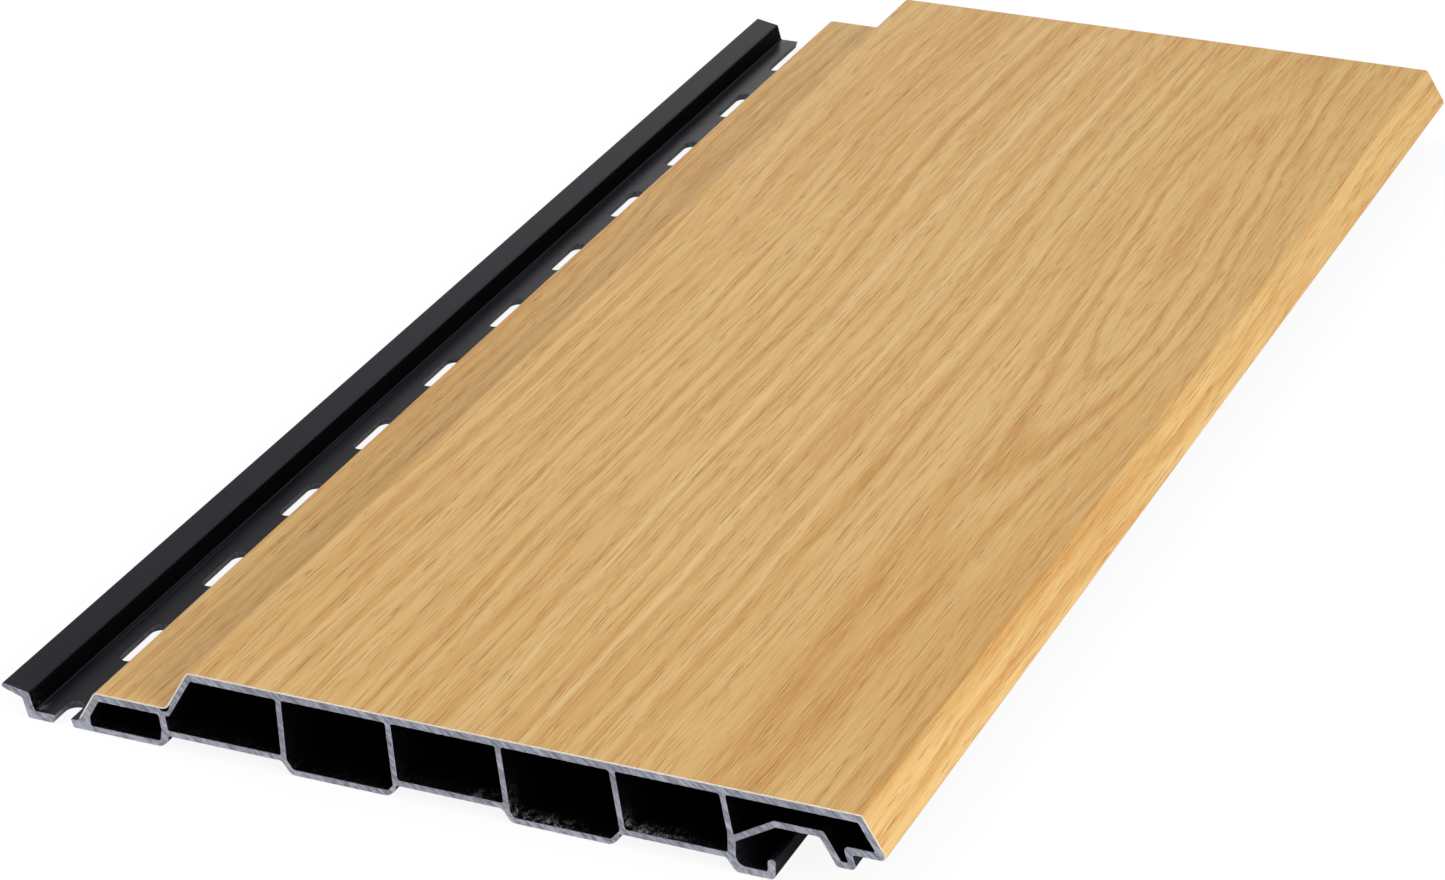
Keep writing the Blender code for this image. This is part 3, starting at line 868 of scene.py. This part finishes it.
def saw_dust(s, place):
    """Share of saw dust: speckled, swept together at the ends, and only low on the board."""
    x, y, z = place
    from_end = s.minus(FAR * MILLIMETRES, s.math("ABSOLUTE", y))
    gust = s.fade(s.speckle(place, DUST_GUST), *GUST_FADE)
    grit = s.fade(s.speckle(place, DUST_GRIT), *GRIT_FADE)
    swept = s.math("POWER", s.fall(from_end, 0.0, DUST_REACH), DUST_FALL)
    heaped = DUST_LEAST
    for middle, width in DUST_HEAPS:
        heaped = s.math("MAXIMUM", s.bell(x, middle, width), heaped)
    low = s.fall(z, *DUST_LEVELS)
    return s.times(s.times(s.times(gust, grit), swept), s.times(heaped, low))


def sawn_material():
    """Sawn PVC: blue-grey, with soft slanting saw marks."""
    s = Shading("pvc_sawn")
    x, y, z = s.place()
    down = s.plus(s.times(x, sin(SAW_ANGLE)), s.times(z, cos(SAW_ANGLE)))
    aside = s.minus(s.times(x, cos(SAW_ANGLE)), s.times(z, sin(SAW_ANGLE)))
    marks = s.speckle((down, aside, y), SAW_MARKS)
    fine = s.speckle((down, aside, y), SAW_FINE)
    tone = s.blend(FINE_SHARE, fine, marks)
    mottle = s.speckle((x, y, z), SAWN_MOTTLE)
    # Painted light: low on the section the sawn face is mottled and on the whole lighter
    uneven_painted_light = s.times_plus(mottle, MOTTLE_SPAN, MOTTLE_LOSS)
    painted_light_low = s.fall(z, *PAINTED_LIGHT_LEVELS)
    colour = s.ramp(s.times_plus(painted_light_low, uneven_painted_light, tone), SAWN_STOPS)
    s.set(Base_Color=colour, Roughness=SAWN_ROUGHNESS, Specular_IOR_Level=SAWN_GLOSS)
    s.bump(tone, *SAWN_BUMP)
    return s.material


def rim_material():
    """Broken rim of the saw cut, lighter than the sawn face."""
    s = Shading("pvc_rim")
    grit = s.speckle(s.place(), RIM_GRIT)
    s.set(Base_Color=s.ramp(grit, RIM_STOPS), Roughness=RIM_ROUGHNESS)
    return s.material


def punched_material():
    """Walls of the punched slots: stressed PVC, greyer than the skin."""
    s = Shading("pvc_punched")
    grit = s.speckle(s.place(), PUNCHED_GRIT)
    s.set(Base_Color=s.ramp(grit, PUNCHED_STOPS), Roughness=PUNCHED_ROUGHNESS)
    s.bump(grit, *PUNCHED_BUMP)
    return s.material


def edge_material():
    """Cut edge of the foil: its pale cream core."""
    s = Shading("foil_edge")
    grit = s.speckle(s.place(), EDGE_GRIT)
    s.set(Base_Color=s.ramp(grit, EDGE_STOPS), Roughness=EDGE_ROUGHNESS)
    return s.material


def studio_floor():
    """Pale floor that keeps the shadow; the camera sees part of it as plain white."""
    mesh = bmesh.new()
    level = cad_low.z - FLOOR_DROP
    corners = ((-1, -1), (1, -1), (1, 1), (-1, 1))
    mesh.faces.new([mesh.verts.new((x * FLOOR_HALF, y * FLOOR_HALF, level)) for x, y in corners])
    s = Shading("studio_floor")
    s.set(Base_Color=FLOOR_COLOUR, Roughness=FLOOR_ROUGHNESS, Specular_IOR_Level=0.0)
    glow = s.node("Emission", {"Color": WHITE, "Strength": FLOOR_WHITE})
    path = s.node("LightPath", {})
    share = s.times(path.outputs["Is Camera Ray"], FLOOR_GLOW)
    blend = s.node("MixShader", {0: share, 1: s.shader.outputs[0], 2: glow.outputs[0]})
    s.put(s.tree.nodes["Material Output"].inputs["Surface"], blend.outputs[0])
    floor = new_object("studio_floor", mesh, [s.material])


def studio_world():
    """Even white light, and plain white where the camera looks past the floor."""
    world = bpy.data.worlds.new("studio")
    world.use_nodes = True
    tree = world.node_tree
    background = tree.nodes["Background"]
    background.inputs["Color"].default_value = WHITE
    path = tree.nodes.new("ShaderNodeLightPath")
    strength = tree.nodes.new("ShaderNodeMapRange")
    strength.inputs["To Min"].default_value = WORLD_STRENGTH
    strength.inputs["To Max"].default_value = FLOOR_WHITE
    tree.links.new(path.outputs["Is Camera Ray"], strength.inputs["Value"])
    tree.links.new(strength.outputs[0], background.inputs["Strength"])
    bpy.context.scene.world = world


def area_light(name, place, target, size, power):
    """Soft box that points at a target."""
    data = bpy.data.lights.new(name, "AREA")
    data.shape = "RECTANGLE"
    data.size, data.size_y = size
    data.energy = power
    lamp = bpy.data.objects.new(name, data)
    bpy.context.collection.objects.link(lamp)
    lamp.location = place
    way = Vector(target) - Vector(place)
    lamp.rotation_euler = way.to_track_quat("-Z", "Y").to_euler()


def studio_camera():
    """Camera at the photo's angle."""
    data = bpy.data.cameras.new("camera")
    data.sensor_fit = "HORIZONTAL"
    data.sensor_width = CAMERA_SENSOR
    data.lens = CAMERA_LENS
    camera = bpy.data.objects.new("camera", data)
    bpy.context.collection.objects.link(camera)
    axes = Matrix((CAMERA_RIGHT, CAMERA_UP, CAMERA_BACK)).transposed().to_4x4()
    camera.matrix_world = Matrix.Translation(CAMERA_PLACE) @ axes
    bpy.context.scene.camera = camera


loops = section_loops(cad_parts["wall_panel"], BRIDGE_Y)
outline, chambers = loops[0], loops[1:]
run, rest = foil_run(outline)

skin = skin_material("pvc_skin", SKIN_LOOK)
# The skin darkened with painted shade, for the chambers' walls and the channel's wall
painted_shade = skin_material("pvc_painted_shade", PAINTED_SHADE_LOOK)
flange = skin_material("pvc_flange", FLANGE_LOOK)
outside = [run[0]] + foil_seat(run) + [run[-1]] + rest
board = board_body(outside, chambers, [skin, sawn_material(), rim_material(), painted_shade, flange])
cut_slots(board, punched_material())
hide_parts("wall_panel")
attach(board, "root")

foil = decor_foil(run, [oak_material(), edge_material()])
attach(foil, "root")

studio_floor()
studio_world()
for light in LIGHTS:
    area_light(*light)
studio_camera()
bpy.context.scene.view_settings.view_transform = "Standard"
